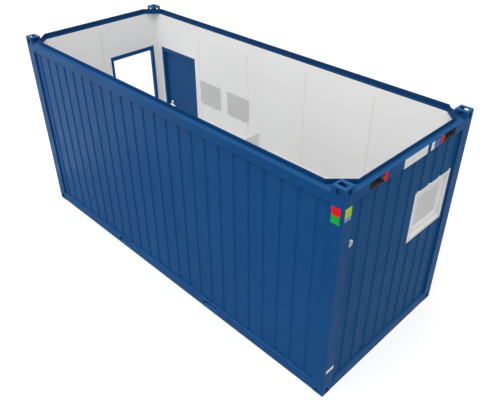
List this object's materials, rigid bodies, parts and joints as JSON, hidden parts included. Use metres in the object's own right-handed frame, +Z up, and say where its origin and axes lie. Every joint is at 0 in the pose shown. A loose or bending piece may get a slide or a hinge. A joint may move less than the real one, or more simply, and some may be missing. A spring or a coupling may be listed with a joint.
{
  "type": "sanitary container",
  "caption": "Blue steel sanitary container, open at the top, with outer doors, tilting window, toilet cabins, basins, urinal and power inlets.",
  "frame": {"origin": "on the ground, midway between the four corner feet", "axes": "+X to the window end, +Y from the near long wall to the wall with the closed door, +Z up"},
  "size_m": [6.2531, 2.4688, 2.96],
  "materials": {
    "blue_steel": "satin blue paint on steel",
    "galvanised": "zinc-coated steel",
    "lining": "pale coated board",
    "wool": "mineral wool",
    "strip": "beige plastic profile",
    "floor_board": "cement-bonded board",
    "floor_vinyl": "grey vinyl",
    "white_plastic": "white plastic",
    "white_panel": "white compact laminate",
    "ceramic": "white glaze",
    "chrome": "polished chrome",
    "steel": "brushed stainless steel",
    "handle": "satin aluminium",
    "pane": "obscured glass",
    "mirror": "silvered glass",
    "black_steel": "matt black paint",
    "red_plastic": "red plastic",
    "plate": "blank coated plate",
    "grey_pipe": "grey plastic pipe",
    "copper": "copper tube"
  },
  "bodies": {
    "container": {"back_door_frame": "blue_steel", "back_wall_cladding": "blue_steel", "blank_plates": "plate", "cabin_walls": "white_panel", "ceiling_trim": "white_panel", "corner_castings": "blue_steel", "corner_posts": "blue_steel", "door_wall_cladding": "blue_steel", "end_door_frame": "blue_steel", "floor_boards": "floor_board", "floor_covering": "floor_vinyl", "floor_cross_members": "galvanised", "floor_rails": "blue_steel", "fork_pockets": "blue_steel", "hinge_pins": "steel", "inlet_boxes": "black_steel", "inlet_plugs": "red_plastic", "joint_strips": "strip", "latch_keepers": "steel", "mirrors": "mirror", "near_wall_cladding": "blue_steel", "roof_corner_gussets": "blue_steel", "roof_rails": "blue_steel", "supply_pipe": "copper", "taps_and_flush_box": "chrome", "urinal": "ceramic", "urinal_screen": "white_panel", "vent_sleeve": "white_plastic", "wall_cores": "wool", "wall_linings": "lining", "wash_basins": "ceramic", "waste_pipe": "grey_pipe", "water_heater": "white_plastic", "wc_cisterns": "white_plastic", "wc_pans": "ceramic", "window_frame": "white_plastic", "window_wall_cladding": "blue_steel"},
    "back_door": {"back_door_leaf": "blue_steel", "back_door_fittings": "steel"},
    "back_lever": {"back_door_lever": "handle"},
    "end_door": {"end_door_leaf": "blue_steel", "end_door_fittings": "steel"},
    "end_lever": {"end_door_lever": "handle"},
    "window_sash_body": {"window_sash": "white_plastic", "window_pane": "pane"},
    "window_handle_body": {"window_handle": "handle"},
    "flap_left": {"inlet_flap_left": "red_plastic"},
    "flap_right": {"inlet_flap_right": "red_plastic"},
    "impeller": {"vent_impeller": "white_plastic"},
    "cabin_left": {"cabin_door_left": "white_panel"},
    "cabin_right": {"cabin_door_right": "white_panel"},
    "latch_left": {"cabin_latch_left": "steel"},
    "latch_right": {"cabin_latch_right": "steel"},
    "seat_left": {"wc_seat_left": "white_plastic"},
    "seat_right": {"wc_seat_right": "white_plastic"},
    "flush_left": {"flush_button_left": "chrome"},
    "flush_right": {"flush_button_right": "chrome"},
    "tap_left": {"tap_lever_left": "chrome"},
    "tap_right": {"tap_lever_right": "chrome"},
    "urinal_push": {"urinal_button": "chrome"}
  },
  "joints": [
    {"name": "back_door_swing", "type": "hinge", "parent": "container", "child": "back_door", "pos_m": [-1.8995, 1.2115, 1.2], "axis": [0, 0, -1], "range_deg": [0, 105]},
    {"name": "back_lever_press", "type": "hinge", "parent": "back_door", "child": "back_lever", "pos_m": [-2.645, 1.2115, 1.195], "axis": [0, 1, 0], "range_deg": [0, 40], "stiffness_Nm_per_rad": 2},
    {"name": "end_door_swing", "type": "hinge", "parent": "container", "child": "end_door", "pos_m": [-3.0215, 0.164, 1.2], "axis": [0, 0, 1], "range_deg": [-172, 0]},
    {"name": "end_lever_press", "type": "hinge", "parent": "end_door", "child": "end_lever", "pos_m": [-3.12525, -0.57425, 1.195], "axis": [-0.9903, 0.1392, 0], "range_deg": [0, 40], "stiffness_Nm_per_rad": 2},
    {"name": "window_tilt", "type": "hinge", "parent": "container", "child": "window_sash_body", "pos_m": [2.9232, 0.622, 1.562], "axis": [0, -1, 0], "range_deg": [0, 12]},
    {"name": "window_handle_turn", "type": "hinge", "parent": "window_sash_body", "child": "window_handle_body", "pos_m": [2.8972, 0.321, 1.8695], "axis": [1, 0, 0], "range_deg": [0, 90]},
    {"name": "inlet_left_flap", "type": "hinge", "parent": "container", "child": "flap_left", "pos_m": [2.9922, -0.5913, 2.8485], "axis": [-1, 0, 0], "range_deg": [0, 85], "stiffness_Nm_per_rad": 0.05, "springref_deg": -17.19},
    {"name": "inlet_right_flap", "type": "hinge", "parent": "container", "child": "flap_right", "pos_m": [2.9922, 0.6213, 2.8485], "axis": [1, 0, 0], "range_deg": [0, 85], "stiffness_Nm_per_rad": 0.05, "springref_deg": -17.19},
    {"name": "vent_spin", "type": "hinge", "parent": "container", "child": "impeller", "pos_m": [2.9675, -1.0045, 2.222], "axis": [1, 0, 0], "continuous": true},
    {"name": "cabin_left_swing", "type": "hinge", "parent": "container", "child": "cabin_left", "pos_m": [1.2107, -0.0765, 1.2], "axis": [0, 0, 1], "range_deg": [0, 95]},
    {"name": "cabin_left_lock", "type": "slide", "parent": "cabin_left", "child": "latch_left", "axis": [1, 0, 0], "range_m": [0, 0.025]},
    {"name": "seat_left_lift", "type": "hinge", "parent": "container", "child": "seat_left", "pos_m": [1.5047, -0.93, 0.5863], "axis": [1, 0, 0], "range_deg": [0, 92]},
    {"name": "flush_left_press", "type": "slide", "parent": "container", "child": "flush_left", "axis": [0, 0, -1], "range_m": [0, 0.005], "stiffness_N_per_m": 800},
    {"name": "cabin_right_swing", "type": "hinge", "parent": "container", "child": "cabin_right", "pos_m": [2.1607, -0.0765, 1.2], "axis": [0, 0, 1], "range_deg": [0, 95]},
    {"name": "cabin_right_lock", "type": "slide", "parent": "cabin_right", "child": "latch_right", "axis": [1, 0, 0], "range_m": [0, 0.025]},
    {"name": "seat_right_lift", "type": "hinge", "parent": "container", "child": "seat_right", "pos_m": [2.4547, -0.93, 0.5863], "axis": [1, 0, 0], "range_deg": [0, 92]},
    {"name": "flush_right_press", "type": "slide", "parent": "container", "child": "flush_right", "axis": [0, 0, -1], "range_m": [0, 0.005], "stiffness_N_per_m": 800},
    {"name": "tap_left_turn", "type": "hinge", "parent": "container", "child": "tap_left", "pos_m": [-1.492, 1.0617, 1.13], "axis": [0, 0, 1], "range_deg": [-45, 45]},
    {"name": "tap_right_turn", "type": "hinge", "parent": "container", "child": "tap_right", "pos_m": [-0.81, 1.0617, 1.13], "axis": [0, 0, 1], "range_deg": [-45, 45]},
    {"name": "urinal_press", "type": "slide", "parent": "container", "child": "urinal_push", "axis": [0, 1, 0], "range_m": [0, 0.005], "stiffness_N_per_m": 800}
  ]
}
